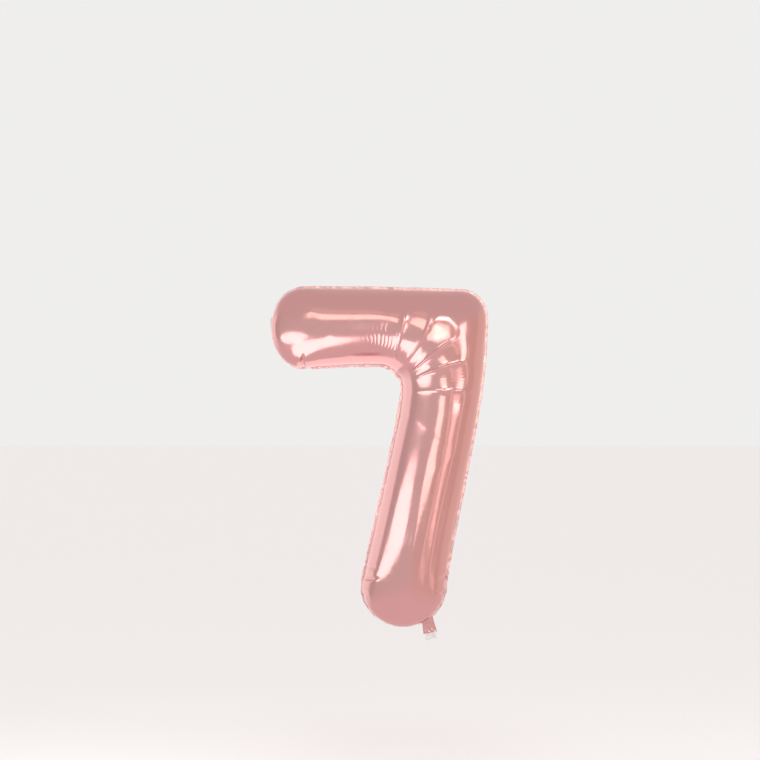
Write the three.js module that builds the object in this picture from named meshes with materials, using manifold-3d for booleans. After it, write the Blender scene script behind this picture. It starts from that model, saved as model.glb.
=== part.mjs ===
// A foil number balloon: an inflated numeral seven of metallised film, with a tail and a
// self-sealing valve at its foot.
//
// Two film panels face each other and are welded flat all round their edge. At the foot the weld
// leaves a neck, and both panels run on through it as a short tail. A flat sleeve of clear film lies
// inside the tail: its outer end is the inlet that a straw goes into, and its inner end is a pair of
// flaps that the gas inside presses shut.
//
// Millimetres, +Z up, the numeral reads from -Y. The origin is in the middle of the neck, where a
// ribbon is tied, and the weld lies in the plane y = 0. Film is far thinner than any solid here: the
// films are drawn thick enough to be solids, with a small gap between pieces that touch.
import * as THREE from "three";
import { ParametricGeometry } from "three/addons/geometries/ParametricGeometry.js";
import { mergeVertices } from "three/addons/utils/BufferGeometryUtils.js";
import Module from "manifold-3d";

const wasm = await Module();
wasm.setup();

// ---- Driving dimensions ------------------------------------------------------------------------

const HEIGHT = 880; // the inflated numeral, from bottom weld to top weld
const WIDTH = 562; // the inflated numeral, from the tip of its bar to its right-hand side
const DEPTH = 196; // the inflated tube, front to back
const ELBOW_SWELL = 0.09; // how much deeper the tube is where bar and stem meet

const WELD_WIDTH = 6; // the flat weld round the edge
const FOIL = 0.5; // drawn thickness of the metallised film
const CLEAR = 0.4; // drawn thickness of the clear valve film
const SLOT = 0.3; // between the two clear films
const GAP = 0.3; // between pieces that touch

const NECK_FROM_TIP = 408; // the neck, across from the bar's tip
const NECK_ABOVE_BASE = 8; // the neck, above the numeral's lowest point
const NECK_INSIDE = 20; // how far the neck's films reach in from the origin, at its middle
const NECK_SLANT = 0.42; // the foot's edge climbs across the neck by this much of its width
const FOLD_CLEARANCE = 1.9; // from the fold to the neck's films above it
const TAIL_LEAN = THREE.MathUtils.degToRad(12); // the tail's lower end leans to the right
const TAIL_TOP_WIDTH = 31;
const TAIL_END_WIDTH = 36;
const TAIL_LENGTH = 23; // from the fold to the end of the foil
const SLEEVE_WIDTH = 24; // the clear sleeve
const LIP_LENGTH = 17; // the clear film that shows past the foil
const LIP_END_WIDTH = 30;
const FLAP_LENGTH = 110; // the clear film inside the balloon

// Stations along each stretch of the numeral, and facets over the tube's half round.
const STATIONS = { barEnd: 9, bar: 6, elbow: 24, stem: 12, foot: 9 };
const ARCH_FACETS = 14;

const MATERIALS = {
  foil: new THREE.MeshStandardMaterial({ color: 0xd9938d, roughness: 0.18, metalness: 1 }),
  weld: new THREE.MeshStandardMaterial({ color: 0xe0a39c, roughness: 0.3, metalness: 1 }),
  clear: new THREE.MeshStandardMaterial({
    color: 0xf4eeec,
    roughness: 0.15,
    metalness: 0,
    transparent: true,
    opacity: 0.5,
  }),
};

// ---- The numeral's outline ---------------------------------------------------------------------

// A point of the outline, measured right from the bar's tip and up from the lowest point.
const at = (right, up) => new THREE.Vector2(right - NECK_FROM_TIP, up - NECK_ABOVE_BASE);

// The quarter of an ellipse between two points: it leaves the first one level and meets the second
// one upright.
function levelToUpright(level, upright) {
  const across = upright.x - level.x;
  const drop = level.y - upright.y;
  const turn = (level.y > upright.y ? 1 : -1) * (Math.PI / 2);
  const end = upright.x > level.x ? 0 : 2 * turn;
  return new THREE.EllipseCurve(
    level.x, upright.y, Math.abs(across), Math.abs(drop), turn, end, turn > end,
  );
}

// The same quarter run the other way.
function uprightToLevel(upright, level) {
  const curve = levelToUpright(level, upright);
  const { aX, aY, xRadius, yRadius, aStartAngle, aEndAngle, aClockwise } = curve;
  return new THREE.EllipseCurve(aX, aY, xRadius, yRadius, aEndAngle, aStartAngle, !aClockwise);
}

const BAR_TIP = at(0, 774);
const BAR_TOP = at(90, HEIGHT);
const BAR_BOTTOM = at(92, 663);
const OVER_CROOK = at(273, 879);
const CROOK_START = at(273, 671);
const CROOK_END = at(335, 614);
const CORNER_START = at(492, 872);
const CORNER_END = at(WIDTH, 795);
const BESIDE_CROOK = at(549, 614);
const FOOT_LEFT = at(231, 108);
const FOOT_RIGHT = at(457, 108);
const FOOT_BOTTOM = at(345, 0);

const aroundElbow = new THREE.CurvePath();
aroundElbow.add(new THREE.LineCurve(OVER_CROOK, CORNER_START));
aroundElbow.add(levelToUpright(CORNER_START, CORNER_END));
aroundElbow.add(new THREE.QuadraticBezierCurve(CORNER_END, at(WIDTH, 703), BESIDE_CROOK));

// The stroke from the bar's tip to the foot. Each stretch has an outer and an inner edge, and its
// fullness is its depth as a share of the tube's: a round end opens from nothing, or closes again.
const STRETCHES = [
  {
    stations: STATIONS.barEnd,
    outer: uprightToLevel(BAR_TIP, BAR_TOP),
    inner: uprightToLevel(BAR_TIP, BAR_BOTTOM),
    fullness: (t) => Math.sin((t * Math.PI) / 2),
  },
  {
    stations: STATIONS.bar,
    outer: new THREE.LineCurve(BAR_TOP, OVER_CROOK),
    inner: new THREE.QuadraticBezierCurve(BAR_BOTTOM, at(180, 671), CROOK_START),
    fullness: () => 1,
  },
  {
    stations: STATIONS.elbow,
    outer: aroundElbow,
    inner: levelToUpright(CROOK_START, CROOK_END),
    fullness: (t) => 1 + ELBOW_SWELL * Math.sin(t * Math.PI) ** 2,
  },
  {
    stations: STATIONS.stem,
    outer: new THREE.CubicBezierCurve(BESIDE_CROOK, at(529, 470), at(470, 215), FOOT_RIGHT),
    inner: new THREE.CubicBezierCurve(CROOK_END, at(335, 548), at(246, 190), FOOT_LEFT),
    fullness: () => 1,
  },
  {
    stations: STATIONS.foot,
    outer: uprightToLevel(FOOT_RIGHT, FOOT_BOTTOM),
    inner: uprightToLevel(FOOT_LEFT, FOOT_BOTTOM),
    fullness: (t) => Math.cos((t * Math.PI) / 2),
  },
];

// Points across the stroke at every station, and how full the tube is there.
function stations() {
  const found = [{ outer: BAR_TIP, inner: BAR_TIP, fullness: 0 }];
  for (const stretch of STRETCHES)
    for (let i = 1; i <= stretch.stations; i++) {
      const t = i / stretch.stations;
      found.push({
        outer: stretch.outer.getPointAt(t),
        inner: stretch.inner.getPointAt(t),
        fullness: stretch.fullness(t),
      });
    }
  found[found.length - 1] = { outer: FOOT_BOTTOM, inner: FOOT_BOTTOM, fullness: 0 };
  return found;
}

const STROKE = stations();

// The closed outline of a stroke: out along its outer edge and home along its inner one.
function outlineOf(stroke) {
  const home = stroke.slice(1, -1).reverse();
  return [...stroke.map((station) => station.outer), ...home.map((station) => station.inner)];
}

// The same stations with both edges moved in by a distance, square to the outline.
function insetStroke(distance) {
  const loop = outlineOf(STROKE);
  const moved = loop.map((point, i) => {
    const along = loop[(i + 1) % loop.length].clone().sub(loop.at(i - 1)).normalize();
    return new THREE.Vector2(point.x + along.y * distance, point.y - along.x * distance);
  });
  return STROKE.map(({ fullness }, i) => ({
    outer: moved[i],
    inner: i === 0 ? moved[0] : moved[loop.length - i],
    fullness,
  }));
}

// ---- Solids ------------------------------------------------------------------------------------

// A solid made from a geometry, with shared vertices merged and collapsed triangles dropped.
function solid(geometry) {
  geometry.deleteAttribute("normal");
  geometry.deleteAttribute("uv");
  const merged = mergeVertices(geometry, 1e-3);
  const triangles = [];
  for (let i = 0; i < merged.index.count; i += 3) {
    const [a, b, c] = [0, 1, 2].map((k) => merged.index.getX(i + k));
    if (a !== b && b !== c && c !== a) triangles.push(a, b, c);
  }
  return new wasm.Manifold(
    new wasm.Mesh({
      numProp: 3,
      vertProperties: new Float32Array(merged.attributes.position.array),
      triVerts: new Uint32Array(triangles),
    }),
  );
}

function geometryOf(manifold) {
  const mesh = manifold.getMesh();
  return new THREE.BufferGeometry()
    .setAttribute("position", new THREE.BufferAttribute(mesh.vertProperties, 3))
    .setIndex(new THREE.BufferAttribute(mesh.triVerts, 1));
}

// A flat film between two corners at its top and two at its bottom, each [x, z], that fills the
// depth from y = near to y = far.
function film([topLeft, topRight], [bottomLeft, bottomRight], near, far) {
  const corners = [bottomLeft, bottomRight, topRight, topLeft];
  const shape = new THREE.Shape(corners.map(([x, z]) => new THREE.Vector2(x, z)));
  return new THREE.ExtrudeGeometry(shape, { depth: far - near, bevelEnabled: false })
    .rotateX(Math.PI / 2)
    .translate(0, far, 0);
}

// The two ends of a level line centred on x = 0.
const level = (width, z) => [[-width / 2, z], [width / 2, z]];

// A flat film whose depth starts a distance from y = 0, on the front or the back.
function layer(side, top, bottom, distance, thickness) {
  const near = side < 0 ? -distance - thickness : distance;
  return film(top, bottom, near, near + thickness);
}

// Half of the inflated tube as a thin shell: at every station an arch that runs out along the film's
// outside and comes back along its inside.
function halfShell(side) {
  const outside = insetStroke(WELD_WIDTH);
  const inside = insetStroke(WELD_WIDTH + FOIL);
  const rim = FOIL + GAP;
  const rise = DEPTH / 2 - rim;
  const around = 2 * ARCH_FACETS + 2;
  const last = STROKE.length - 1;

  function archPoint({ outer, inner, fullness }, height, share, target) {
    const turn = share * Math.PI;
    const across = (1 - Math.cos(turn)) / 2;
    const [x, z] = [outer.x + (inner.x - outer.x) * across, outer.y + (inner.y - outer.y) * across];
    target.set(x, side * (rim + height * fullness * Math.sin(turn)), z);
  }

  // Running the stations backwards on the front half keeps its surface facing out.
  function point(u, v, target) {
    const station = Math.round((side < 0 ? 1 - u : u) * last);
    const step = Math.round(v * around) % around;
    const home = around - 1 - step;
    if (step <= ARCH_FACETS) archPoint(outside[station], rise, step / ARCH_FACETS, target);
    else archPoint(inside[station], rise - FOIL, home / ARCH_FACETS, target);
  }

  return new ParametricGeometry(point, last, around);
}

const SLEEVE_HALF_DEPTH = SLOT / 2 + CLEAR;
const FOIL_DISTANCE = SLEEVE_HALF_DEPTH + GAP; // from y = 0 to the foils over the sleeve

// The top of the neck's films, slanted like the foot's edge across the neck.
function neckTop(width, rise = 0) {
  const climb = (NECK_SLANT * width) / 2;
  return [[-width / 2, NECK_INSIDE - climb + rise], [width / 2, NECK_INSIDE + climb + rise]];
}

// A panel: its half of the tube and its half of the neck, which is one film.
function panel(side) {
  const bottom = level(TAIL_TOP_WIDTH, FOLD_CLEARANCE);
  const neck = layer(side, neckTop(TAIL_TOP_WIDTH), bottom, FOIL_DISTANCE, FOIL);
  return geometryOf(solid(halfShell(side)).add(solid(neck.rotateY(-TAIL_LEAN))));
}

// The weld: a flat ring round the outline that turns down both sides of the neck, and is parted
// between them to let the sleeve through.
function weldRing() {
  const outline = new THREE.Shape(outlineOf(STROKE));
  outline.holes.push(new THREE.Path(outlineOf(insetStroke(WELD_WIDTH + FOIL)).reverse()));
  const ring = new THREE.ExtrudeGeometry(outline, { depth: 2 * FOIL, bevelEnabled: false })
    .rotateX(Math.PI / 2)
    .translate(0, FOIL, 0);
  const sides = film(
    neckTop(TAIL_TOP_WIDTH), level(TAIL_TOP_WIDTH, FOLD_CLEARANCE), -FOIL, FOIL,
  ).rotateY(-TAIL_LEAN);
  const passageWidth = SLEEVE_WIDTH + 2 * GAP;
  const passage = film(
    neckTop(passageWidth, NECK_INSIDE), level(passageWidth, 0), -DEPTH, DEPTH,
  ).rotateY(-TAIL_LEAN);
  return geometryOf(solid(ring).add(solid(sides)).subtract(solid(passage)));
}

// A flat sleeve of two clear films joined down both sides and open at both ends.
function sleeve(top, bottom) {
  const half = SLEEVE_WIDTH / 2;
  const free = half - CLEAR;
  const rectangle = (x, y) => [[-x, -y], [x, -y], [x, y], [-x, y]].map(([a, b]) => new THREE.Vector2(a, b));
  const section = new THREE.Shape(rectangle(half, SLEEVE_HALF_DEPTH));
  section.holes.push(new THREE.Path(rectangle(free, SLOT / 2).reverse()));
  return new THREE.ExtrudeGeometry(section, { depth: top - bottom, bevelEnabled: false })
    .translate(0, 0, bottom);
}

// ---- The assembly ------------------------------------------------------------------------------

const FRONT = -1;
const BACK = 1;

function piece(name, geometry, material) {
  const mesh = new THREE.Mesh(geometry, material);
  mesh.name = name;
  return mesh;
}

// The body of the balloon: both panels and the weld that joins them.
function numeral() {
  const group = new THREE.Group();
  group.add(piece("front_panel", panel(FRONT), MATERIALS.foil));
  group.add(piece("back_panel", panel(BACK), MATERIALS.foil));
  group.add(piece("perimeter_weld", weldRing(), MATERIALS.weld));
  return group;
}

// The valve inside the balloon: the sleeve in the neck and the two flaps above it.
function valve() {
  const group = new THREE.Group();
  const bottom = NECK_INSIDE + GAP;
  const flap = (side) =>
    layer(side, level(SLEEVE_WIDTH, bottom + FLAP_LENGTH), level(SLEEVE_WIDTH, bottom), SLOT / 2, CLEAR);
  group.add(piece("valve_neck_sleeve", sleeve(NECK_INSIDE, FOLD_CLEARANCE), MATERIALS.clear));
  group.add(piece("valve_front_flap", flap(FRONT), MATERIALS.clear));
  group.add(piece("valve_back_flap", flap(BACK), MATERIALS.clear));
  return group;
}

// The tail below the fold: two foils, the weld down each side, and the inlet sleeve between them.
function tail() {
  const group = new THREE.Group();
  const top = -GAP;
  const bottom = -TAIL_LENGTH;
  const foil = (side) =>
    layer(side, level(TAIL_TOP_WIDTH, top), level(TAIL_END_WIDTH, bottom), FOIL_DISTANCE, FOIL);
  const weld = (side) => {
    const inner = (side * SLEEVE_WIDTH) / 2 + side * GAP;
    const ends = [[inner, top], [(side * TAIL_TOP_WIDTH) / 2, top]];
    const feet = [[inner, bottom], [(side * TAIL_END_WIDTH) / 2, bottom]];
    return film(ends.sort(([a], [b]) => a - b), feet.sort(([a], [b]) => a - b), -FOIL, FOIL);
  };
  const lip = (side) =>
    layer(side, level(SLEEVE_WIDTH, bottom - GAP), level(LIP_END_WIDTH, bottom - LIP_LENGTH), SLOT / 2, CLEAR);
  group.add(piece("tail_front_foil", foil(FRONT), MATERIALS.foil));
  group.add(piece("tail_back_foil", foil(BACK), MATERIALS.foil));
  group.add(piece("tail_left_weld", weld(-1), MATERIALS.weld));
  group.add(piece("tail_right_weld", weld(1), MATERIALS.weld));
  group.add(piece("inlet_sleeve", sleeve(top, bottom), MATERIALS.clear));
  group.add(piece("inlet_front_lip", lip(FRONT), MATERIALS.clear));
  group.add(piece("inlet_back_lip", lip(BACK), MATERIALS.clear));
  return group;
}

const neckFrame = new THREE.Group();
neckFrame.rotation.y = -TAIL_LEAN;
neckFrame.add(valve(), tail());

const balloon = new THREE.Group();
balloon.add(numeral(), neckFrame);

export default balloon;
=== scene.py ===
"""A rose-gold foil number balloon: an inflated seven with its tail and self-sealing valve.

Metres, +Z up, the numeral reads from -Y and its weld lies in the plane y = 0. The two panels are
films. Each starts as the smooth inflated shape, with some spare length near its ends and its seam,
and a film solver inflates it until the spare length has become folds. The creases that fan out from
the crook, the pillows between them and the fine ripples are then pushed into the film.
"""

import math

import bpy
import numpy as np
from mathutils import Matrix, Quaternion, Vector, noise
from mathutils.bvhtree import BVHTree
from mathutils.geometry import barycentric_transform, delaunay_2d_cdt
from mathutils.kdtree import KDTree

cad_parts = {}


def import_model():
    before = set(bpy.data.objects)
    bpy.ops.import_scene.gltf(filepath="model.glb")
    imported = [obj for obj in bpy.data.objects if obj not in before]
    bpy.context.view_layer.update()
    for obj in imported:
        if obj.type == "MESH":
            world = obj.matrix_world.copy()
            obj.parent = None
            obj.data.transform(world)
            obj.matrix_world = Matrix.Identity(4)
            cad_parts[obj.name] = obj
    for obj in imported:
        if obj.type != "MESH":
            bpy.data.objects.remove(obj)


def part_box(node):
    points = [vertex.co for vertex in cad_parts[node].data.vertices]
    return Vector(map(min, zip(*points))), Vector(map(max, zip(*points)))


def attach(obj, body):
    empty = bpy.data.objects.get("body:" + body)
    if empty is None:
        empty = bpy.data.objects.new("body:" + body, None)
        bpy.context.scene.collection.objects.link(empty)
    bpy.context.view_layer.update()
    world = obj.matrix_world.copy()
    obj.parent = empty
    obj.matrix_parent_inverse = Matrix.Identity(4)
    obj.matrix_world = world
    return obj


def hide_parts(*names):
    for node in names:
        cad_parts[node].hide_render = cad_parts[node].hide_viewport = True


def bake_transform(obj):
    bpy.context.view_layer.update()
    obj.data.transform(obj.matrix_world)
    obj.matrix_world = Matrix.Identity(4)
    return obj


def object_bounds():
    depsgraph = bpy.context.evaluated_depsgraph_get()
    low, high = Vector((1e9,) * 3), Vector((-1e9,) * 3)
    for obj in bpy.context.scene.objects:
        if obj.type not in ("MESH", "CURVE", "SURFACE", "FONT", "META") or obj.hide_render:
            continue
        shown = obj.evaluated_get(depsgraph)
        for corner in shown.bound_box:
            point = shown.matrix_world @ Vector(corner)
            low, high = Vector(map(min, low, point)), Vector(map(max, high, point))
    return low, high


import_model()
CAD_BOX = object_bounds()

FRONT = -1
BACK = 1
MM = 0.001

# ---- Driving sizes -----------------------------------------------------------------------------

NUMERAL_LOW = Vector(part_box("perimeter_weld")[0])  # its lowest corner: left, front and bottom
WELD_WIDTH = 6 * MM
FILM_DEPTH = 188 * MM  # the smooth shape, front to back, before it is blown up
ELBOW_SWELL = 0.09  # how much deeper the tube is where bar and stem meet
TAIL_LEAN = math.radians(12)

FINE_STEP = 3.5 * MM  # between a film's points where it creases
SEAM_STEP = 4 * MM  # and along its seam
FILM_ROUNDS = 1200
CALM_ROUNDS = 70  # smoothing round the crook before the creases are made

# Each random draw has its own seed, so the balloon is the same every time.
SEAM_SEED = 7
FRONT_SEED = 1
BACK_SEED = 2
CREASE_SEED = 20  # added to the panel's own seed
WELD_SEED = 11


# ---- Fading in and out -------------------------------------------------------------------------

def fade(start, end, values):
    """0 before start, 1 past end and smooth between them."""
    t = np.clip((values - start) / (end - start), 0, 1)
    return t * t * (3 - 2 * t)


def band(values, start, full, ending, end):
    """0 outside start and end, 1 between full and ending, and smooth between those."""
    return fade(start, full, values) * fade(end, ending, values)


# ---- The numeral's outline ---------------------------------------------------------------------

def at(right, up):
    """A point (x, z) of the outline, in mm right from the bar's tip and up from the lowest point."""
    return np.array([NUMERAL_LOW.x + right * MM, NUMERAL_LOW.z + up * MM])


CURVE_POINTS = 300


def bezier(*points):
    """A line, or a curve with one or two control points."""
    t = np.linspace(0, 1, CURVE_POINTS)[:, None]
    while len(points) > 1:
        points = [a + (b - a) * t for a, b in zip(points[:-1], points[1:])]
    return points[0]


def quarter(level, upright):
    """The quarter of an ellipse that leaves one point level and meets the other one upright."""
    t = np.linspace(0, math.pi / 2, CURVE_POINTS)[:, None]
    across = (upright - level) * (1, 0)
    drop = (level - upright) * (0, 1)
    return level + across * np.sin(t) - drop * (1 - np.cos(t))


BAR_TIP = at(0, 774)
BAR_TOP = at(90, 880)
BAR_BOTTOM = at(92, 663)
OVER_CROOK = at(273, 879)
CROOK_START = at(273, 671)
CROOK_END = at(335, 614)
CROOK_MIDDLE = at(273, 614)
CORNER_START = at(492, 872)
CORNER_END = at(562, 795)
BESIDE_CROOK = at(549, 614)
FOOT_LEFT = at(231, 108)
FOOT_RIGHT = at(457, 108)
FOOT_BOTTOM = at(345, 0)

AROUND_ELBOW = np.vstack([
    bezier(OVER_CROOK, CORNER_START),
    quarter(CORNER_START, CORNER_END),
    bezier(CORNER_END, at(562, 703), BESIDE_CROOK),
])

# The stroke from the bar's tip to the foot. Each stretch has its number of stations, its outer and
# inner edges, how full the tube is along it, and how far the flat film reached past each edge.
STRETCHES = [
    dict(
        stations=30,
        outer=quarter(BAR_TOP, BAR_TIP)[::-1],
        inner=quarter(BAR_BOTTOM, BAR_TIP)[::-1],
        fullness=lambda t: np.sin(t * math.pi / 2),
        outer_reach=33 * MM,
        inner_reach=33 * MM,
    ),
    dict(
        stations=30,
        outer=bezier(BAR_TOP, OVER_CROOK),
        inner=bezier(BAR_BOTTOM, at(180, 671), CROOK_START),
        fullness=np.ones_like,
        outer_reach=57 * MM,
        inner_reach=57 * MM,
    ),
    dict(
        stations=80,
        outer=AROUND_ELBOW,
        inner=quarter(CROOK_START, CROOK_END),
        fullness=lambda t: 1 + ELBOW_SWELL * np.sin(t * math.pi) ** 2,
        outer_reach=50 * MM,
        inner_reach=22 * MM,
    ),
    dict(
        stations=70,
        outer=bezier(BESIDE_CROOK, at(529, 470), at(470, 215), FOOT_RIGHT),
        inner=bezier(CROOK_END, at(335, 548), at(246, 190), FOOT_LEFT),
        fullness=np.ones_like,
        outer_reach=57 * MM,
        inner_reach=57 * MM,
    ),
    dict(
        stations=30,
        outer=quarter(FOOT_BOTTOM, FOOT_RIGHT)[::-1],
        inner=quarter(FOOT_BOTTOM, FOOT_LEFT)[::-1],
        fullness=lambda t: np.cos(t * math.pi / 2),
        outer_reach=33 * MM,
        inner_reach=33 * MM,
    ),
]


def lengths_along(points):
    """The distance along a line of points, from the first one to each."""
    return np.concatenate([[0], np.cumsum(np.linalg.norm(np.diff(points, axis=0), axis=1))])


def along(points, distances):
    """Points at these distances along a line of points."""
    measured = lengths_along(points)
    columns = [np.interp(distances, measured, points[:, k]) for k in range(points.shape[1])]
    return np.stack(columns, axis=1)


def smooth_round(values, reach):
    """Values round a closed loop, each averaged with about this many on either side of it."""
    span = np.arange(-4 * reach, 4 * reach + 1)
    weights = np.exp(-0.5 * (span / reach) ** 2)
    weights /= weights.sum()
    wrapped = np.concatenate([values[-4 * reach:], values, values[:4 * reach]])
    return np.convolve(wrapped, weights, mode="valid")


def outward(loop):
    """The direction out of a clockwise loop at each of its points."""
    heading = np.roll(loop, -1, axis=0) - np.roll(loop, 1, axis=0)
    heading /= np.linalg.norm(heading, axis=1)[:, None]
    return np.stack([-heading[:, 1], heading[:, 0]], axis=1)


def stations():
    """The outer and inner edges of the stroke, station by station, and the fullness there."""
    outer, inner, fullness = [], [], []
    outer_reach, inner_reach = [], []
    for stretch in STRETCHES:
        count = stretch["stations"]
        first = 0 if stretch is STRETCHES[0] else 1
        t = np.arange(first, count + 1) / count
        outer.append(along(stretch["outer"], t * lengths_along(stretch["outer"])[-1]))
        inner.append(along(stretch["inner"], t * lengths_along(stretch["inner"])[-1]))
        fullness.append(stretch["fullness"](t))
        outer_reach.append(np.full(len(t), stretch["outer_reach"]))
        inner_reach.append(np.full(len(t), stretch["inner_reach"]))
    return tuple(np.concatenate(found) for found in (outer, inner, fullness, outer_reach, inner_reach))


def loop_of(outer, inner):
    """The closed clockwise loop out along the outer edge and home along the inner one."""
    return np.concatenate([outer, inner[1:-1][::-1]])


def edges_of(loop):
    """The outer and inner edges of a loop."""
    last = len(loop) // 2
    return loop[:last + 1], np.concatenate([loop[:1], loop[last:][::-1]])


OUTER, INNER, FULLNESS, OUTER_REACH, INNER_REACH = stations()
OUTLINE = loop_of(OUTER, INNER)


# ---- The weld's seam ---------------------------------------------------------------------------

SEAM_POINTS = 1600
SEAM_WAVER = 0.25 * MM  # how much the seam wavers where it isn't gathered
SEAM_WAVES = (3, 5)  # how many points the seam's inward and sideways waves are smoothed over
SIDEWAYS_SHARE = 0.8  # of the sideways waves' height to the inward ones'
PUCKERS = [  # middle, spread and height of the stretches where the seam is gathered
    (BAR_TIP, 80 * MM, 1.1 * MM),
    (at(92, 663), 30 * MM, 1.4 * MM),
    (CORNER_END, 60 * MM, 0.5 * MM),
    (at(315, 655), 70 * MM, 0.7 * MM),
    (at(470, 160), 70 * MM, 1.6 * MM),
    (FOOT_BOTTOM, 110 * MM, 0.9 * MM),
    (FOOT_LEFT, 60 * MM, 0.8 * MM),
]


def seam_line():
    """The seam between weld and gas as points (x, y, z), with its gathers, and its outward side."""
    loop = OUTLINE - outward(OUTLINE) * WELD_WIDTH
    closed = np.concatenate([loop, loop[:1]])
    total = lengths_along(closed)[-1]
    seam = along(closed, np.arange(SEAM_POINTS) / SEAM_POINTS * total)
    out = outward(seam)
    random = np.random.default_rng(SEAM_SEED)
    height = np.full(SEAM_POINTS, SEAM_WAVER)
    for middle, spread, peak in PUCKERS:
        height += peak * np.exp(-(np.linalg.norm(seam - middle, axis=1) / spread) ** 2)
    waves = [smooth_round(random.normal(size=SEAM_POINTS), reach) for reach in SEAM_WAVES]
    inward, sideways = (wave / wave.std() for wave in waves)
    seam = seam - out * (height * np.abs(inward))[:, None]
    level = height * SIDEWAYS_SHARE * sideways
    return np.stack([seam[:, 0], level, seam[:, 1]], axis=1), out


SEAM, SEAM_OUT = seam_line()


# ---- The neck and tail's own frame --------------------------------------------------------------

NECK_WIDTH = 31 * MM
NECK_TOP = 20 * MM
NECK_SLANT = 0.42  # the foot's edge climbs across the neck by this much of its width
NECK_FILM_AWAY = 1.1 * MM  # from y = 0 to the middle of the neck's foils
CLEAR_AWAY = 0.35 * MM  # from y = 0 to the middle of the clear films
PASSAGE_WIDTH = 24.6 * MM  # the gap in the weld, for the clear sleeve
NECK_REACH = 60 * MM  # the seam is in the neck only where it is nearer the origin than this
NECK_PARTING = (0.62, 0.45)  # the seam parts between these shares of the neck's width from its middle
TAIL_ACROSS = np.array([math.cos(TAIL_LEAN), 0, math.sin(TAIL_LEAN)])
TAIL_UP = np.array([-math.sin(TAIL_LEAN), 0, math.cos(TAIL_LEAN)])


def at_neck(points):
    """1 at points of the seam inside the neck, fading to 0 beside it."""
    across = np.abs(points @ TAIL_ACROSS)
    near = np.linalg.norm(points, axis=1) < NECK_REACH
    return near * fade(NECK_WIDTH * NECK_PARTING[0], NECK_WIDTH * NECK_PARTING[1], across)


# ---- A panel of film ---------------------------------------------------------------------------

ARCH_STEPS = 64
REACH_BLUR = 7  # how many stations the flat film's reach is smoothed over
LATTICE_JITTER = 0.08  # how uneven the film's points are, as a share of their step
SEAM_CLEARANCE = 0.65  # no point is nearer the film's edge than this share of the seam's step
FINE_REACH = 265 * MM  # the film's points are closer together as far as this from the crook's middle
FINE_ANGLES = (-40, 128)  # and between these clock angles round it, in degrees


def around(centre, points):
    """Each point's distance from a centre, clock angle in degrees, direction round it and offset."""
    offset = points[:, [0, 2]] - centre
    distance = np.linalg.norm(offset, axis=1) + 1e-9
    angle = np.degrees(np.arctan2(offset[:, 0], offset[:, 1]))
    direction = np.stack([-offset[:, 1], np.zeros_like(distance), offset[:, 0]], axis=1)
    return distance, angle, direction / distance[:, None], offset


def along_loop(loop, shares):
    """Points at these shares, from 0 to 1, round a loop of evenly spaced points."""
    places = np.asarray(shares) * len(loop)
    wrapped = np.concatenate([loop, loop[:1]])
    columns = [np.interp(places, np.arange(len(wrapped)), wrapped[:, k]) for k in range(loop.shape[1])]
    return np.stack(columns, axis=1)


def smooth_shape():
    """The panel's smooth inflated shape and the flat film it came from, as two matching grids."""
    seam_outer, seam_inner = edges_of(OUTLINE - outward(OUTLINE) * WELD_WIDTH)
    share = np.linspace(0, 1, ARCH_STEPS + 1)
    across = ((1 - np.cos(math.pi * share)) / 2)[None, :, None]
    plan = seam_outer[:, None] + (seam_inner - seam_outer)[:, None] * across
    height = FILM_DEPTH / 2 * FULLNESS[:, None] * np.sin(math.pi * share)
    shape = np.stack([plan[..., 0], -height, plan[..., 1]], axis=2)
    reach = smooth_round(loop_of(OUTER_REACH, INNER_REACH), REACH_BLUR)
    seam = loop_of(seam_outer, seam_inner)
    cut = seam + outward(seam) * reach[:, None]
    cut_outer, cut_inner = edges_of(cut)
    flat = cut_outer[:, None] + (cut_inner - cut_outer)[:, None] * share[None, :, None]
    return shape, flat, cut


def inside(loop, points):
    """Which points lie inside a loop."""
    found = np.zeros(len(points), bool)
    for a, b in zip(loop, np.roll(loop, 1, axis=0)):
        crosses = (a[1] > points[:, 1]) != (b[1] > points[:, 1])
        slope = (b[0] - a[0]) / (b[1] - a[1] + 1e-30)
        found ^= crosses & (points[:, 0] < slope * (points[:, 1] - a[1]) + a[0])
    return found


def flat_mesh(loop, random):
    """Triangles over the inside of a loop: its own points, and a slightly uneven lattice.

    The lattice is fine round the crook, where the film creases, and twice as wide elsewhere."""
    low, high = loop.min(axis=0), loop.max(axis=0)
    lattice = []
    for row, z in enumerate(np.arange(low[1], high[1], FINE_STEP * math.sqrt(3) / 2)):
        xs = np.arange(low[0] + (row % 2) * FINE_STEP / 2, high[0], FINE_STEP)
        points = np.stack([xs, np.full_like(xs, z)], axis=1)
        coarse = (np.arange(len(xs)) + row // 2) % 2 == 0 if row % 2 == 0 else np.zeros(len(xs), bool)
        distance, angle, _, _ = around(CROOK_MIDDLE, np.insert(points, 1, 0, axis=1))
        fine = (distance < FINE_REACH) & (angle > FINE_ANGLES[0]) & (angle < FINE_ANGLES[1])
        lattice.append(points[coarse | fine])
    lattice = np.concatenate(lattice)
    lattice += random.normal(0, FINE_STEP * LATTICE_JITTER, lattice.shape)
    lattice = lattice[inside(loop, lattice)]
    edge = KDTree(len(loop))
    for i, point in enumerate(loop):
        edge.insert((*point, 0), i)
    edge.balance()
    margin = SEAM_CLEARANCE * SEAM_STEP
    clear = np.array([edge.find((*point, 0))[2] > margin for point in lattice])
    points = [Vector(point) for point in np.concatenate([loop, lattice[clear]])]
    result = delaunay_2d_cdt(points, [], [list(range(len(loop)))], 1, 1e-7)
    return np.array(result[0]), np.array(result[2])


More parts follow.
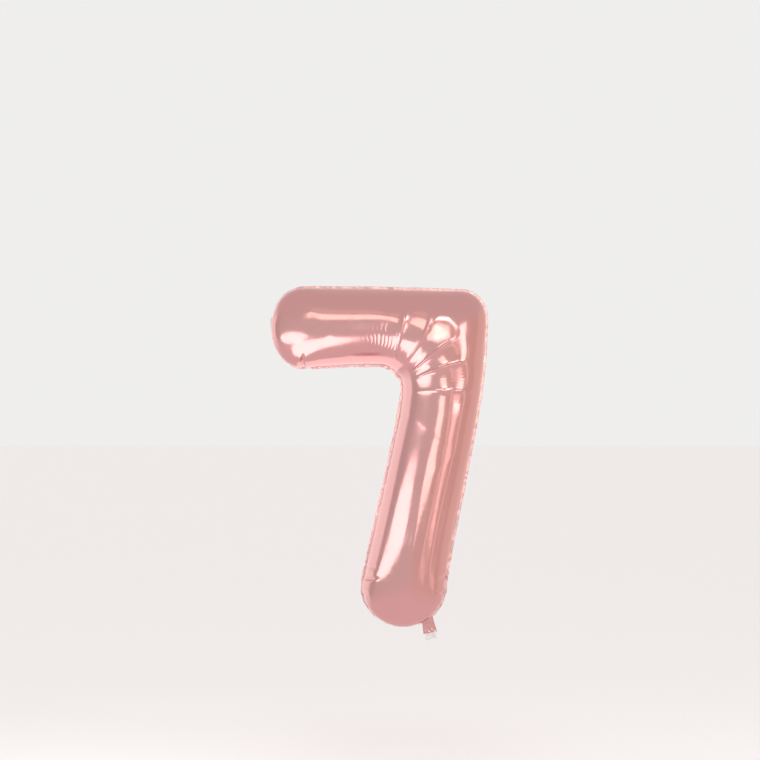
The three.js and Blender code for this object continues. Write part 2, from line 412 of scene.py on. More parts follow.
def film_mesh(side, random):
    """A panel's points on the smooth shape, its triangles and how many points its seam has."""
    shape, flat, cut = smooth_shape()
    rows, columns = shape.shape[:2]
    corner = np.arange(rows * columns).reshape(rows, columns)
    a, b, c, d = (corner[:-1, :-1], corner[1:, :-1], corner[1:, 1:], corner[:-1, 1:])
    grid = np.concatenate([np.stack([a, b, c], axis=-1), np.stack([a, c, d], axis=-1)]).reshape(-1, 3)
    shape = shape.reshape(-1, 3)
    flat = np.insert(flat.reshape(-1, 2), 1, 0, axis=1)
    sides = flat[grid[:, 1:]] - flat[grid[:, :1]]
    grid = grid[np.linalg.norm(np.cross(sides[:, 0], sides[:, 1]), axis=1) > 1e-10]
    lookup = BVHTree.FromPolygons(flat.tolist(), grid.tolist())

    closed_cut = np.concatenate([cut, cut[:1]])
    total = lengths_along(closed_cut)[-1]
    count = int(round(total / SEAM_STEP))
    places = np.arange(count) / count
    edge = along(closed_cut, places * total)
    # The same place along the seam, by its share of the stations passed.
    closed_seam = OUTLINE - outward(OUTLINE) * WELD_WIDTH
    closed_seam = np.concatenate([closed_seam, closed_seam[:1]])
    passed = np.interp(places * total, lengths_along(closed_cut), lengths_along(closed_seam))
    seam_share = passed / lengths_along(closed_seam)[-1]
    seam = along_loop(SEAM, seam_share)
    seam[:, 1] = -side * seam[:, 1] - NECK_FILM_AWAY * at_neck(seam)

    points, triangles = flat_mesh(edge, random)
    placed = np.zeros((len(points), 3))
    placed[:count] = seam
    for i in range(count, len(points)):
        spot, _, face, _ = lookup.find_nearest((points[i, 0], 0, points[i, 1]))
        corners = [Vector(flat[k]) for k in grid[face]] + [Vector(shape[k]) for k in grid[face]]
        placed[i] = barycentric_transform(spot, *corners)
    return placed, triangles, count


BAR_END = at(95, 772)  # the middle of the bar's round end
FOOT_END = at(344, 108)  # and of the foot's
CORNER = at(470, 775)
END_SPARE = 0.10  # the share of spare length round the two ends
CORNER_SPARE = 0.02
HALF_TURN = 0.03  # how far past the middle of an end its spare length fades away
SEAM_SPARE = 0.012  # the share of spare length close to the seam
SEAM_BAND = 20 * MM  # how far that reaches
STRETCH = 1.002  # the film gives by this much everywhere
TUCKS = [  # where the film is tucked into its seam: middle, reach, share of spare length
    (at(84, 690), 22 * MM, 0.24),
    (at(262, 134), 22 * MM, 0.17),
    (at(455, 130), 22 * MM, 0.13),
]


def spare_length(middles, vectors):
    """The squared length each edge of the film has when it is flat."""
    extra = np.zeros(len(vectors))

    def add(share, direction):
        nonlocal extra
        extra += ((1 + share) ** 2 - 1) * (vectors * direction).sum(axis=1) ** 2

    distance, _, direction, offset = around(BAR_END, middles)
    left = fade(HALF_TURN, -HALF_TURN, offset[:, 0])
    add(END_SPARE * fade(0.035, 0.10, distance) * left, direction)
    distance, _, direction, offset = around(FOOT_END, middles)
    below = fade(HALF_TURN, -HALF_TURN, offset[:, 1])
    add(END_SPARE * fade(0.035, 0.105, distance) * below, direction)
    distance, _, direction, offset = around(CORNER, middles)
    corner = fade(-HALF_TURN, HALF_TURN, offset[:, 0]) * fade(-HALF_TURN, HALF_TURN, offset[:, 1])
    add(CORNER_SPARE * fade(0.02, 0.09, distance) * corner, direction)
    for middle, reach, share in TUCKS:
        place = middles[:, [0, 2]] - middle
        near = np.exp(-(np.linalg.norm(place, axis=1) / reach) ** 2)
        line = SEAM[:, [0, 2]]
        k = np.argmin(np.linalg.norm(line - middle, axis=1))
        heading = line[(k + 8) % SEAM_POINTS] - line[k - 8]
        add(share * near, np.insert(heading / np.linalg.norm(heading), 1, 0))
    return (vectors ** 2).sum(axis=1) + extra


def vertex_normals(points, triangles):
    """The sum of the face normals at each point, as long as the faces round it are large."""
    a, b, c = (points[triangles[:, k]] for k in range(3))
    faces = np.cross(b - a, c - a)
    found = np.zeros_like(points)
    for k in range(3):
        for axis in range(3):
            found[:, axis] += np.bincount(triangles[:, k], faces[:, axis], len(points))
    return found


def coloured_edges(edges, count):
    """The edges in batches in which no two share a point.

    Each bit set in a point's number in taken marks a batch that already has an edge there."""
    taken = [0] * count
    batch = []
    for i, j in edges.tolist():
        free = ~(taken[i] | taken[j])
        lowest = free & -free
        taken[i] |= lowest
        taken[j] |= lowest
        batch.append(lowest.bit_length())
    batch = np.array(batch)
    return [np.nonzero(batch == k)[0] for k in range(1, batch.max() + 1)]


PRESSURE = 3e-6  # how far a round of the solver pushes a finely spaced point
DRAG = 0.94  # the share of its speed that a point keeps
BENDING = 0.01
SQUEEZE = 0.5  # how much of a squeezed edge's lost length it takes back each round
FINE_AREA = 3 * math.sqrt(3) * FINE_STEP ** 2  # twice the area of the six triangles round a fine point
UNEVENNESS = 0.1 * MM  # of the film at the start, so that it folds somewhere
HALF_GAP = 0.4 * MM  # the two panels stay this far from y = 0
SMOOTHING = 0.5  # how much a calming round smooths the film
SWELLING = 0.4  # and how much it then gives back


def calm_place(points):
    """1 round the crook, where the creases come later, and 0 away from it."""
    distance, angle, _, _ = around(CROOK_MIDDLE, points)
    return band(distance, 0.072, 0.095, 0.24, 0.262) * band(angle, -60, -35, 140, 170)


def inflate(side, seed):
    """A panel of film under pressure: its points and its triangles."""
    random = np.random.default_rng(seed)
    points, triangles, seam_count = film_mesh(side, random)
    count = len(points)
    pairs = np.concatenate([triangles[:, [0, 1]], triangles[:, [1, 2]], triangles[:, [2, 0]]])
    edges = np.unique(np.sort(pairs, axis=1), axis=0)
    vectors = points[edges[:, 1]] - points[edges[:, 0]]
    middles = (points[edges[:, 0]] + points[edges[:, 1]]) / 2
    lengths = np.sqrt(spare_length(middles, vectors))
    near_seam = np.exp(-(middles[:, 1] / SEAM_BAND) ** 2)
    level = 1 - np.abs(vectors[:, 1]) / np.linalg.norm(vectors, axis=1)
    lengths *= STRETCH + SEAM_SPARE * near_seam * level
    batches = [(edges[k, 0], edges[k, 1], lengths[k]) for k in coloured_edges(edges, count)]
    points[seam_count:, 1] += random.normal(0, UNEVENNESS, count - seam_count)

    ends = np.concatenate([edges, edges[:, ::-1]])
    ends = ends[np.argsort(ends[:, 0], kind="stable")]
    starts = np.searchsorted(ends[:, 0], np.arange(count))
    degree = np.diff(np.append(starts, len(ends)))[:, None]

    def bend(values):
        return np.add.reduceat(values[ends[:, 1]], starts, axis=0) / degree - values

    seam = points[:seam_count].copy()
    step = np.bincount(edges.ravel(), weights=np.repeat(lengths, 2), minlength=count)
    step /= np.bincount(edges.ravel(), minlength=count)
    stiffness = BENDING * np.minimum(1, FINE_STEP / step)[:, None] ** 3
    speed = np.zeros_like(points)
    for _ in range(FILM_ROUNDS):
        speed = DRAG * speed + PRESSURE * (vertex_normals(points, triangles) / FINE_AREA)
        before = points.copy()
        points += speed
        points -= stiffness * bend(bend(points))
        for i, j, length in batches:
            gap = points[j] - points[i]
            now = np.sqrt((gap * gap).sum(axis=1))
            change = (now - length) / now
            move = gap * (np.where(change > 0, change, SQUEEZE * change) / 2)[:, None]
            points[i] += move
            points[j] -= move
        points[:seam_count] = seam
        points[seam_count:, 1] = np.minimum(points[seam_count:, 1], -HALF_GAP)
        speed = points - before

    calm = calm_place(points)[:, None]
    calm[:seam_count] = 0
    for _ in range(CALM_ROUNDS):
        points += SMOOTHING * calm * bend(points)
        points -= SWELLING * calm * bend(points)
    return points, triangles


# ---- Building pieces ---------------------------------------------------------------------------

def mesh_object(name, points, faces):
    """A smooth-shaded mesh in the scene."""
    mesh = bpy.data.meshes.new(name)
    mesh.from_pydata(np.asarray(points).tolist(), [], np.asarray(faces).tolist())
    mesh.validate()
    mesh.polygons.foreach_set("use_smooth", [True] * len(mesh.polygons))
    made = bpy.data.objects.new(name, mesh)
    bpy.context.scene.collection.objects.link(made)
    return made


def subdivided(made):
    """The object's mesh, made finer once by subdivision."""
    modifier = made.modifiers.new("smooth", "SUBSURF")
    modifier.levels = modifier.render_levels = 1
    modifier.boundary_smooth = "PRESERVE_CORNERS"
    mesh = bpy.data.meshes.new_from_object(made.evaluated_get(bpy.context.evaluated_depsgraph_get()))
    made.modifiers.clear()
    return mesh


def thicken(made, thickness):
    """Give a film its thickness, half to either side."""
    modifier = made.modifiers.new("film", "SOLIDIFY")
    modifier.thickness = thickness
    modifier.offset = 0


# ---- Creases, pillows and ripples --------------------------------------------------------------

# All of these are pushed along the panels' normals, which point into the balloon: a crease stands
# out of the film by its depth, and the pillows, the ridge and the ripples sink by their height.

# The creases that fan out from the crook: depth, and the points of each one's curve in mm.
CREASES = [
    (2.8 * MM, [(318, 684), (331, 736), (347, 790), (346, 816)]),
    (3.4 * MM, [(342, 668), (390, 735), (425, 792), (408, 818)]),
    (3.4 * MM, [(358, 652), (423, 714), (474, 744)]),
    (3.8 * MM, [(366, 640), (447, 678), (502, 684)]),
    (1.6 * MM, [(360, 606), (441, 613), (512, 611)]),
]
CREASE_WIDTH = 2.7 * MM
CREASE_SHIFTS = {FRONT: 0.6, BACK: 7}  # how far each panel's creases stray from the list, in mm
CREASE_ANGLES = [21.0, 40.5, 57.5, 72.5, 91.5]  # round the crook, from straight up, in degrees
PILLOW_ENDS = (2.0, 110.0)  # where the first pillow starts and the last one ends
PILLOW_HEIGHT = 3.2 * MM
PILLOW_SINK = 0.3  # how far a pillow's edges are pushed the other way, as a share of its height
RIDGE_REACH = 208 * MM  # from the crook's middle to the ridge that runs round it
RIDGE_HEIGHT = 0.8 * MM
RIDGE_WIDTH = 15 * MM
RIPPLES = [  # middle, reach, wavelength and height of the fine ripples
    (at(297, 735), 32 * MM, 9.3 * MM, 0.44 * MM),
    (at(474, 640), 30 * MM, 7.6 * MM, 0.14 * MM),
    (at(466, 590), 24 * MM, 8.2 * MM, 0.05 * MM),
]
RIPPLE_WOBBLE = 0.9  # how far noise shifts the ripples, in radians
RIPPLE_EDGE = 0.02  # where they are fainter than this share of their height they are left flat
STREAK_HEIGHT = 0.8 * MM  # the long faint waves down the stem, and their size across and down
STREAK_WIDTH = 15 * MM
STREAK_LENGTH = 190 * MM
STREAK_SEED = 3.1
STEM_ACROSS = (0.978, -0.208)
STEM_DOWN = (0.208, 0.978)


def distance_to(points, line):
    """Each point's distance from a line of points, and its share of the way along it."""
    gaps = np.linalg.norm(points[:, None] - line[None], axis=2)
    nearest = gaps.argmin(axis=1)
    return gaps[np.arange(len(points)), nearest], nearest / (len(line) - 1)


def pillows(angle):
    """How far the film between creases is pushed: 0 in each crease and 1 half-way to the next."""
    found = np.zeros(len(angle))
    ends = [PILLOW_ENDS[0], *CREASE_ANGLES, PILLOW_ENDS[1]]
    for start, end in zip(ends[:-1], ends[1:]):
        share = (angle - start) / (end - start)
        found = np.where((share >= 0) & (share < 1), 4 * share * (1 - share), found)
    return found


def ripple(points, phase):
    """Fine ripples with narrow valleys, from -1 to 1, wavering a little."""
    wobble = [noise.noise(Vector(point) / (14 * MM)) for point in points]
    return 2 * np.abs(np.sin(phase + RIPPLE_WOBBLE * np.array(wobble))) ** 0.7 - 1


def streaks(plan, side):
    """Long faint waves that run down the stem, from about -1 to 1."""
    places = zip(plan @ STEM_ACROSS / STREAK_WIDTH, plan @ STEM_DOWN / STREAK_LENGTH)
    return np.array([noise.noise(Vector((u, v, STREAK_SEED * side))) for u, v in places])


def creased(points, normals, side, random):
    """The points of a film pushed along their normals into creases, pillows and fine ripples.

    The normals point into the balloon, so what is added to push goes inwards."""
    plan = points[:, [0, 2]]
    distance, angle, _, _ = around(CROOK_MIDDLE, points)
    off_seam = fade(1.5 * MM, 9 * MM, np.abs(points[:, 1]))
    fan = band(distance, 0.125, 0.20, 0.22, 0.262)
    push = PILLOW_HEIGHT * fan * (pillows(angle) - PILLOW_SINK) * band(angle, -2, 20, 90, 112)
    ridge = np.exp(-((distance - RIDGE_REACH) / RIDGE_WIDTH) ** 2)
    push += RIDGE_HEIGHT * ridge * band(angle, -8, 14, 95, 125)
    nearby = distance < FINE_REACH
    for depth, curve in CREASES:
        shift = random.normal(0, CREASE_SHIFTS[side], 2)
        line = bezier(*(at(*(point + shift)) for point in np.array(curve)))[::3]
        gap, share = distance_to(plan[nearby], line)
        push[nearby] -= depth * band(share, 0, 0.22, 0.8, 1) * np.exp(-gap / CREASE_WIDTH)
    for middle, reach, wavelength, height in RIPPLES:
        share = np.exp(-(np.linalg.norm(plan - middle, axis=1) / reach) ** 2)
        phase = np.radians(angle) * np.linalg.norm(middle - CROOK_MIDDLE) / wavelength * math.pi
        here = share > RIPPLE_EDGE
        waves = np.full(len(points), -1.0)
        waves[here] = ripple(points[here], phase[here])
        push += height * share * waves
    stem = band(points[:, 2], 0.02, 0.10, 0.36, 0.50)
    push += STREAK_HEIGHT * stem * streaks(plan, side)
    return points + normals * (push * off_seam)[:, None]


def panel_film(name, side, seed):
    """One panel of the balloon: its film is inflated, made finer and then creased.

    Its faces are wound to look into the balloon."""
    points, triangles = inflate(side, seed)
    points[:, 1] *= -side
    if side == FRONT:
        triangles = triangles[:, ::-1]
    made = mesh_object(name, points, triangles)
    made.data = mesh = subdivided(made)
    points = np.empty(len(mesh.vertices) * 3, np.float32)
    normals = np.empty_like(points)
    mesh.vertices.foreach_get("co", points)
    mesh.vertex_normals.foreach_get("vector", normals)
    random = np.random.default_rng(seed + CREASE_SEED)
    points = creased(points.reshape(-1, 3), normals.reshape(-1, 3), side, random)
    mesh.vertices.foreach_set("co", points.astype(np.float32).ravel())
    mesh.update()
    return made


front_film = panel_film("front_panel_film", FRONT, FRONT_SEED)
back_film = panel_film("back_panel_film", BACK, BACK_SEED)


# ---- The weld ----------------------------------------------------------------------------------

WELD_COLUMNS = 7
WELD_TUCK = 0.35  # how far the weld runs on under the panels, as a share of its width
SCALLOP = 0.35 * MM  # how much its outer edge wavers in and out
CRINKLE = 0.45 * MM  # and to and fro
WELD_THICKNESS = 0.3 * MM


def weld_film():
    """The flat weld round the outline, wavy where the film is gathered into it."""
    random = np.random.default_rng(WELD_SEED)
    crinkle = smooth_round(random.normal(size=SEAM_POINTS), 2)
    crinkle /= crinkle.std()
    scallop = smooth_round(random.normal(size=SEAM_POINTS), 4)
    scallop /= scallop.std()
    out = np.insert(SEAM_OUT, 1, 0, axis=1)
    columns = []
    for share in np.linspace(-WELD_TUCK, 1, WELD_COLUMNS):
        reach = share * WELD_WIDTH + max(share, 0) * SCALLOP * scallop
        line = SEAM + out * reach[:, None]
        line[:, 1] += max(share, 0) * CRINKLE * crinkle
        columns.append(line)
    grid = np.stack(columns, axis=1)
    faces = []
    for i in range(SEAM_POINTS):
        j = (i + 1) % SEAM_POINTS
        across = min(abs(SEAM[i] @ TAIL_ACROSS), abs(SEAM[j] @ TAIL_ACROSS))
        if np.linalg.norm(SEAM[i]) < NECK_REACH and across < PASSAGE_WIDTH / 2:
            continue
        for k in range(WELD_COLUMNS - 1):
            here, next_to = i * WELD_COLUMNS + k, j * WELD_COLUMNS + k
            faces.append((here, here + 1, next_to + 1, next_to))
    return mesh_object("weld_film", grid.reshape(-1, 3), faces)


weld = weld_film()
thicken(weld, WELD_THICKNESS)


# ---- The neck, tail and valve ------------------------------------------------------------------

FOLD_TOP = 1.9 * MM  # the neck's films end this far above the fold
FOLD_OVERLAP = 0.8 * MM  # and the tail's foils run on this far behind them
FOIL_SPREAD = 1.16  # the tail's foils are this much further apart than the neck's
TAIL_LENGTH = 23 * MM
TAIL_END_WIDTH = 36 * MM
SLEEVE_WIDTH = 24 * MM
LIP_LENGTH = 17 * MM
LIP_END_WIDTH = 30 * MM
FLAP_LENGTH = 110 * MM
GAP = 0.3 * MM
FILM_THICKNESS = 0.16 * MM
FOIL_STEP = 0.9 * MM  # between the points of each kind of film
LIP_STEP = 0.7 * MM
FLAP_STEP = 2 * MM
TAIL_SLACK = 1.9 * MM  # how far the films are crumpled at the tail's end
NECK_SLACK = 0.25 * MM  # and in the neck
SLEEVE_SIDES = 44
SLEEVE_ROWS = 16


def crumple(x, z):
    """How far the films of neck and tail are pushed off their plane together: more lower down."""
    slack = fade(-3 * MM, -34 * MM, z) * TAIL_SLACK + fade(4 * MM, 14 * MM, z) * NECK_SLACK
    slack *= fade(0.8 * MM, 6 * MM, abs(z + TAIL_LENGTH))
    broad = noise.noise(Vector((x / (13 * MM), z / (21 * MM), 1.7)))
    sharp = 1 - 2.6 * abs(noise.noise(Vector((x / (8 * MM) + z / (19 * MM), z / (24 * MM), 8.3))))
    return slack * (broad + 0.45 * sharp)


def tail_film(name, away, top, bottom, top_width, bottom_width, slant=0.0, step=FOIL_STEP):
    """A film in the tail's plane, from a top to a bottom height, on one side of the middle."""
    rows = max(4, int(round((top - bottom) / step)))
    columns = max(2, int(round(max(top_width, bottom_width) / step)))
    points = []
    for down in np.linspace(0, 1, rows + 1):
        width = top_width + (bottom_width - top_width) * down
        for x in np.linspace(-width / 2, width / 2, columns + 1):
            z = top + (bottom - top) * down + slant * x * (1 - down)
            points.append(TAIL_ACROSS * x + TAIL_UP * z + np.array([0, away + crumple(x, z), 0]))
    faces = []
    for i in range(rows):
        for j in range(columns):
            k = i * (columns + 1) + j
            faces.append((k, k + 1, k + columns + 2, k + columns + 1))
    made = mesh_object(name, points, faces)
    thicken(made, FILM_THICKNESS)
    return made


def strip_film(name, side, top, bottom, top_width, bottom_width):
    """One side's weld: a strip from the clear sleeve's edge out to the edge of the foil."""
    made = tail_film(name, 0, top, bottom, top_width, bottom_width)
    for vertex in made.data.vertices:
        place = np.array(vertex.co)
        x = place @ TAIL_ACROSS
        down = np.clip((top - place @ TAIL_UP) / (top - bottom), 0, 1)
        outer = (top_width + (bottom_width - top_width) * down) / 2
        inner = PASSAGE_WIDTH / 2
        share = x / (2 * outer) + 0.5
        target = side * (inner + (outer - inner) * share)
        vertex.co = place + TAIL_ACROSS * (target - x)
    return made


def sleeve_film(name, top, bottom):
    """A flat sleeve of clear film: two layers joined down both sides and open at both ends."""
    points = []
    for down in np.linspace(0, 1, SLEEVE_ROWS + 1):
        z = top + (bottom - top) * down
        for turn in np.arange(SLEEVE_SIDES) / SLEEVE_SIDES * 2 * math.pi:
            x = SLEEVE_WIDTH / 2 * math.cos(turn)
            y = CLEAR_AWAY * np.sign(math.sin(turn)) * abs(math.sin(turn)) ** 0.3 + crumple(x, z)
            points.append(TAIL_ACROSS * x + TAIL_UP * z + np.array([0, y, 0]))
    faces = []
    for i in range(SLEEVE_ROWS):
        for j in range(SLEEVE_SIDES):
            k, other = i * SLEEVE_SIDES + j, i * SLEEVE_SIDES + (j + 1) % SLEEVE_SIDES
            faces.append((k, other, other + SLEEVE_SIDES, k + SLEEVE_SIDES))
    return mesh_object(name, points, faces)


SIDES = {"front": FRONT, "back": BACK}
foils, welds, clears = [], [weld], []
for word, side in SIDES.items():
    away = side * NECK_FILM_AWAY
    neck = tail_film(
        f"{word}_neck_film", away, NECK_TOP, FOLD_TOP, NECK_WIDTH, NECK_WIDTH, slant=NECK_SLANT,
    )
    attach(neck, "balloon")
    tail_foil = tail_film(
        f"tail_{word}_film", away * FOIL_SPREAD, FOLD_TOP + FOLD_OVERLAP, -TAIL_LENGTH, NECK_WIDTH,
        TAIL_END_WIDTH,
    )
    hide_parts(f"tail_{word}_foil")
    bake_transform(tail_foil)
    foils += [neck, tail_foil]
    lip = tail_film(
        f"inlet_{word}_lip_film", side * CLEAR_AWAY, -TAIL_LENGTH - GAP, -TAIL_LENGTH - LIP_LENGTH,
        SLEEVE_WIDTH, LIP_END_WIDTH, step=LIP_STEP,
    )
    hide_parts(f"inlet_{word}_lip")
    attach(lip, f"inlet_{word}")
    flap = tail_film(
        f"valve_{word}_flap_film", side * CLEAR_AWAY, NECK_TOP + GAP + FLAP_LENGTH, NECK_TOP + GAP,
        SLEEVE_WIDTH, SLEEVE_WIDTH, step=FLAP_STEP,
    )
    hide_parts(f"valve_{word}_flap")
    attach(flap, f"valve_{word}")
    clears += [lip, flap]

for word, side in {"left": -1, "right": 1}.items():
    neck_side = strip_film(f"neck_{word}_weld_film", side, NECK_TOP, FOLD_TOP, NECK_WIDTH, NECK_WIDTH)
    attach(neck_side, "balloon")
    tail_side = strip_film(
        f"tail_{word}_weld_film", side, -GAP, -TAIL_LENGTH, NECK_WIDTH, TAIL_END_WIDTH,
    )
    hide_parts(f"tail_{word}_weld")
    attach(tail_side, "tail")
    welds += [neck_side, tail_side]

neck_sleeve = sleeve_film("valve_neck_sleeve_film", NECK_TOP, FOLD_TOP)
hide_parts("valve_neck_sleeve")
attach(neck_sleeve, "balloon")
inlet_sleeve = sleeve_film("inlet_sleeve_film", -GAP, -TAIL_LENGTH)
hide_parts("inlet_sleeve")
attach(inlet_sleeve, "tail")
clears += [neck_sleeve, inlet_sleeve]


# ---- The panels' cut, with its weld allowance --------------------------------------------------


def declare_sheets():
    """The panels' cut, with its weld allowance: it is worked out here and not used."""
    _, _, cut = smooth_shape()
    cut = cut + outward(cut) * WELD_WIDTH


declare_sheets()


# ---- Materials ---------------------------------------------------------------------------------

def noise_over(tree, scale, detail):
    """A noise texture in the object's own space: what it gives, from 0 to 1."""
    place = tree.nodes.new("ShaderNodeTexCoord")
    texture = tree.nodes.new("ShaderNodeTexNoise")
    texture.inputs["Scale"].default_value = scale
    texture.inputs["Detail"].default_value = detail
    tree.links.new(place.outputs["Object"], texture.inputs["Vector"])
    return texture.outputs["Fac"]


def ranged(tree, value, before, after, interpolation="LINEAR"):
    """A value in one range turned into the same place in another range."""
    node = tree.nodes.new("ShaderNodeMapRange")
    node.interpolation_type = interpolation
    node.inputs["From Min"].default_value = before[0]
    node.inputs["From Max"].default_value = before[1]
    node.inputs["To Min"].default_value = after[0]
    node.inputs["To Max"].default_value = after[1]
    tree.links.new(value, node.inputs["Value"])
    return node.outputs["Result"]


def mixer(tree, share, second):
    """A node that mixes its first colour, still to be set, with a second one by a share."""
    node = tree.nodes.new("ShaderNodeMix")
    node.data_type = "RGBA"
    node.inputs["B"].default_value = (*second, 1)
    tree.links.new(share, node.inputs["Factor"])
    return node


def bump(tree, shader, height, strength, distance):
    """Bumps of this height in a shader's surface."""
    node = tree.nodes.new("ShaderNodeBump")
    node.inputs["Strength"].default_value = strength
    node.inputs["Distance"].default_value = distance
    tree.links.new(height, node.inputs["Height"])
    tree.links.new(node.outputs["Normal"], shader.inputs["Normal"])


def foil_material(name, colour, other_colour, roughness):
    """Metallised film: its tint drifts over the balloon, and its gloss is slightly uneven."""
    material = bpy.data.materials.new(name)
    material.use_nodes = True
    tree = material.node_tree
    shader = tree.nodes["Principled BSDF"]
    shader.inputs["Metallic"].default_value = 1.0
    tint = mixer(tree, noise_over(tree, 3.5, 3.0), other_colour)
    tint.inputs["A"].default_value = (*colour, 1)
    tree.links.new(tint.outputs["Result"], shader.inputs["Base Color"])
    grain = noise_over(tree, 45, 4.0)
    tree.links.new(ranged(tree, grain, (0.3, 0.7), roughness), shader.inputs["Roughness"])
    bump(tree, shader, grain, 0.25, 0.3 * MM)
    return material


def clear_material():
    """Thin clear film: glossy, a little milky, and cloudier where it is creased."""
    material = bpy.data.materials.new("clear_film")
    material.use_nodes = True
    tree = material.node_tree
    shader = tree.nodes["Principled BSDF"]
    shader.inputs["Base Color"].default_value = (0.93, 0.91, 0.90, 1)
    clouds = noise_over(tree, 260, 3.0)
    for socket, limits in (("Roughness", (0.06, 0.32)), ("Alpha", (0.35, 0.85))):
        tree.links.new(ranged(tree, clouds, (0.35, 0.65), limits), shader.inputs[socket])
    bump(tree, shader, clouds, 0.6, 0.4 * MM)
    return material


FOIL = foil_material("rose_gold_foil", (0.78, 0.402, 0.393), (0.82, 0.445, 0.425), (0.12, 0.19))
WELD = foil_material("rose_gold_weld", (0.86, 0.50, 0.49), (0.92, 0.60, 0.58), (0.24, 0.38))
CLEAR = clear_material()

for film in (front_film, back_film, weld):
    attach(film, "balloon")
for pieces, material, slot in (
    ([front_film, back_film, *foils], FOIL, "foil"),
    (welds, WELD, "weld"),
    (clears, CLEAR, "clear_film"),
):
    for made in pieces:
        made.data.materials.append(material)
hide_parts("front_panel")
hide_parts("back_panel")
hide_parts("perimeter_weld")


# ---- Floor, light and camera -------------------------------------------------------------------

FLOOR_REACH = 30
FLOOR_DROP = 0.28  # how far below the balloon the floor is

# The light all round: how bright it is from in front of the balloon, 0, to behind it, 1. To the
# right, above and below it goes over to the next three colours. The camera sees the last one.
SURROUNDINGS = [(0.0, 0.58), (0.30, 0.55), (0.42, 0.49), (0.55, 0.48), (0.61, 0.90), (1.0, 0.90)]
RIGHT_COLOUR = (0.61, 0.51, 0.46)
HIGH_COLOUR = (0.56, 0.53, 0.53)
LOW_COLOUR = (0.66, 0.60, 0.61)
BACKDROP_COLOUR = (0.69, 0.685, 0.68)
WORLD_STRENGTH = 1.25


def plain_material(name, colour, roughness):
    """One even colour, for the floor."""
    material = bpy.data.materials.new(name)
    material.use_nodes = True
    shader = material.node_tree.nodes["Principled BSDF"]
    shader.inputs["Base Color"].default_value = (*colour, 1)
    shader.inputs["Roughness"].default_value = roughness
    return material


def floor():
    """A plain pale floor, which the foil doesn't mirror."""
    height = CAD_BOX[0][2] - FLOOR_DROP
    signs = [(-1, -1), (1, -1), (1, 1), (-1, 1)]
    corners = [(x * FLOOR_REACH, y * FLOOR_REACH, height) for x, y in signs]
    made = mesh_object("floor", corners, [(0, 1, 2, 3)])
    made.data.materials.append(plain_material("pale_floor", (0.86, 0.85, 0.84), 0.8))
    made.visible_glossy = False


def world():
    """Soft light from all round: mid grey in front, a little darker beside and bright behind."""
    sky = bpy.data.worlds.new("studio")
    sky.use_nodes = True
    tree = sky.node_tree
    place = tree.nodes.new("ShaderNodeTexCoord")
    axes = tree.nodes.new("ShaderNodeSeparateXYZ")
    tree.links.new(place.outputs["Generated"], axes.inputs["Vector"])
    ring = tree.nodes.new("ShaderNodeValToRGB")
    ring.color_ramp.interpolation = "EASE"
    while len(ring.color_ramp.elements) < len(SURROUNDINGS):
        ring.color_ramp.elements.new(0.5)
    for element, (position, level) in zip(ring.color_ramp.elements, SURROUNDINGS):
        element.position = position
        element.color = (level, level, level, 1)
    tree.links.new(ranged(tree, axes.outputs["Y"], (-1, 1), (0, 1)), ring.inputs["Fac"])
    camera_ray = tree.nodes.new("ShaderNodeLightPath").outputs["Is Camera Ray"]
    colour = ring.outputs["Color"]
    for share, other in (
        (ranged(tree, axes.outputs["X"], (0, 0.6), (0, 0.8), "SMOOTHSTEP"), RIGHT_COLOUR),
        (ranged(tree, axes.outputs["Z"], (0.15, 0.55), (0, 1), "SMOOTHSTEP"), HIGH_COLOUR),
        (ranged(tree, axes.outputs["Z"], (-0.15, -0.6), (0, 1), "SMOOTHSTEP"), LOW_COLOUR),
        (camera_ray, BACKDROP_COLOUR),
    ):
        mix = mixer(tree, share, other)
        tree.links.new(colour, mix.inputs["A"])
        colour = mix.outputs["Result"]
    background = tree.nodes["Background"]
    tree.links.new(colour, background.inputs["Color"])
    background.inputs["Strength"].default_value = WORLD_STRENGTH
    bpy.context.scene.world = sky


def softbox(name, place, aim, width, height, power, colour=(1, 1, 1), roll=0, shape="RECTANGLE"):
    """A lamp that points from its place at another point, turned about its own axis by roll."""
    light = bpy.data.lights.new(name, "AREA")
    light.shape = shape
    light.size = width
    light.size_y = height
    light.energy = power
    light.color = colour
    made = bpy.data.objects.new(name, light)
    made.location = place
    turn = (Vector(aim) - Vector(place)).to_track_quat("-Z", "Y")
    made.rotation_euler = (turn @ Quaternion((0, 0, 1), math.radians(roll))).to_euler()
    made.visible_camera = False
    bpy.context.scene.collection.objects.link(made)


def floor_light():
    """Soft light from straight above, for the floor: the foil doesn't mirror it."""
    light = bpy.data.lights.new("floor_light", "SUN")
    light.energy = 0.9
    light.angle = 1.2
    made = bpy.data.objects.new("floor_light", light)
    made.visible_glossy = False
    bpy.context.scene.collection.objects.link(made)


LENS = 120 * MM
SENSOR = 36 * MM
VIEW_WIDTH = 1.9616  # what the frame spans at the numeral
VIEW_CENTRE = (-0.125, 0.6295)  # right and up


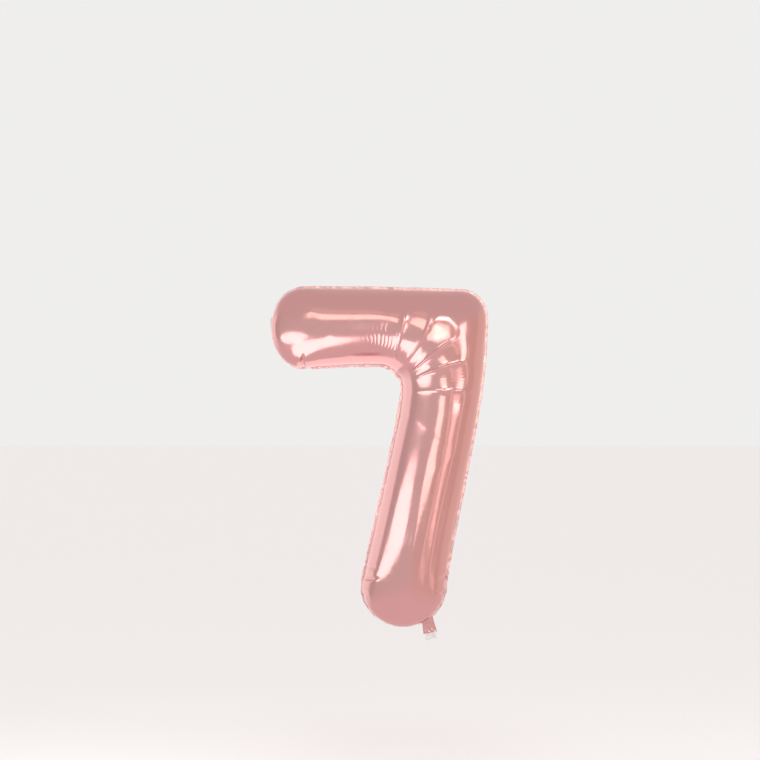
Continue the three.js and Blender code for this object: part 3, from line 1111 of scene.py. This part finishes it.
def camera():
    """A level camera straight in front of the numeral."""
    view = bpy.data.cameras.new("camera")
    view.lens = LENS / MM
    view.sensor_width = SENSOR / MM
    made = bpy.data.objects.new("camera", view)
    made.location = (VIEW_CENTRE[0], -VIEW_WIDTH * LENS / SENSOR, VIEW_CENTRE[1])
    made.rotation_euler = (math.pi / 2, 0, 0)
    bpy.context.scene.collection.objects.link(made)
    bpy.context.scene.camera = made


floor()
world()
# Low on the left: the long highlight down the stem, the bar's underside and the creases' facets.
softbox("left_softbox", (-1.02, -0.78, 0.355), (-0.06, 0, 0.145), 1.15, 0.50, 1.9, shape="ELLIPSE")
softbox("low_softbox", (-0.53, -0.70, 0.20), (-0.53, -0.70, 1), 0.70, 0.94, 2.15, shape="ELLIPSE")
# High on the right: the white band round the outside of the elbow, and its end down the stem.
softbox("elbow_high", (0.60, -2.0, 1.98), (0.05, 0, 0.75), 0.55, 0.45, 1.1)
softbox("elbow_strip", (1.02, -2.0, 1.67), (0.1, 0, 0.75), 1.1, 0.45, 2.4, roll=-45)
softbox("right_strip", (1.88, -1.45, 0.92), (0.0, 0, 0.62), 0.62, 1.15, 3.2)
# In front, warmer: the line along the bar, the top of the creases and the stripe down the stem.
softbox("bar_strip", (-0.50, -2.9, 2.25), (-0.30, 0, 0.75), 1.3, 0.8, 3.8, (1, 0.86, 0.75))
softbox("crest_box", (0.45, -2.9, 1.18), (0.05, 0, 0.75), 0.7, 0.7, 1.7, (1, 0.86, 0.75))
softbox("stem_strip", (0.33, -2.85, 0.62), (0.0, 0, 0.45), 0.8, 1.1, 3.3, (1, 0.92, 0.82))
# Down the stem's right-hand side, under the bar and along the bar's top.
softbox("right_fade", (1.78, -1.60, 0.08), (0.0, 0, 0.50), 0.52, 0.75, 0.75, (1, 0.93, 0.90))
softbox("under_bar", (-0.27, 0.46, 0.28), (-0.27, 0.46, 1), 0.36, 0.85, 0.42)
softbox("top_glow", (-0.40, -2.2, 2.9), (-0.20, 0, 0.80), 1.0, 0.5, 0.22, (1, 0.72, 0.45))
softbox("right_streak", (2.25, -0.82, -0.05), (0.0, 0, 0.25), 0.16, 1.2, 0.22)
softbox("front_streak", (1.38, -1.97, -0.05), (0.0, 0, 0.25), 0.20, 1.2, 0.24)
floor_light()
bpy.context.scene.view_settings.view_transform = "Standard"
camera()
